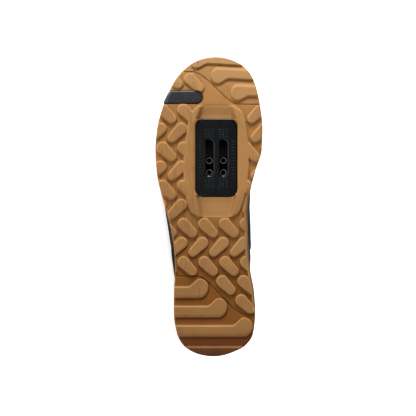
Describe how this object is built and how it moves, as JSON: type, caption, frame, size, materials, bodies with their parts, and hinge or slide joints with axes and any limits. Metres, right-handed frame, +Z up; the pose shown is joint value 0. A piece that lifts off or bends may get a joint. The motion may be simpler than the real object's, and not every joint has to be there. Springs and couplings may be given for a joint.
{
  "type": "cycling shoe",
  "caption": "Low lace-up cycling shoe for the right foot, gum rubber cup sole with lugs and a cleat window, black upper, lying on its outer side.",
  "frame": {"origin": "middle of the bounding box at the floor that the shoe lies on", "axes": "+X towards the heel, -Y the way the tread faces, +Z up from the floor, out of the shoe's inner side"},
  "size_m": [0.2972, 0.115, 0.1096],
  "materials": {
    "gum_rubber": "matt gum rubber",
    "plate_plastic": "hard black nylon, slightly glossy",
    "nut_steel": "blackened steel",
    "black_rubber": "smooth black rubber",
    "black_synthetic": "woven black synthetic",
    "black_overlay": "fine-grained black synthetic leather",
    "insole_foam": "foam with a knitted cover",
    "black_lace": "flat woven lace"
  },
  "bodies": {
    "shoe": {"outsole": "gum_rubber", "cleat_plate": "plate_plastic", "toe_tag": "black_rubber", "upper": "black_synthetic", "toe_cap": "black_overlay", "heel_counter": "black_overlay", "eyestay": "black_overlay", "tongue": "black_synthetic", "insole": "insole_foam", "laces": "black_lace"},
    "cleat_nut_strip": {"cleat_nuts": "nut_steel"}
  },
  "joints": [
    {"name": "cleat_nut_slide", "type": "slide", "parent": "shoe", "child": "cleat_nut_strip", "axis": [-0.9933, 0.0106, 0.1151], "range_m": [0, 0.0171]}
  ]
}
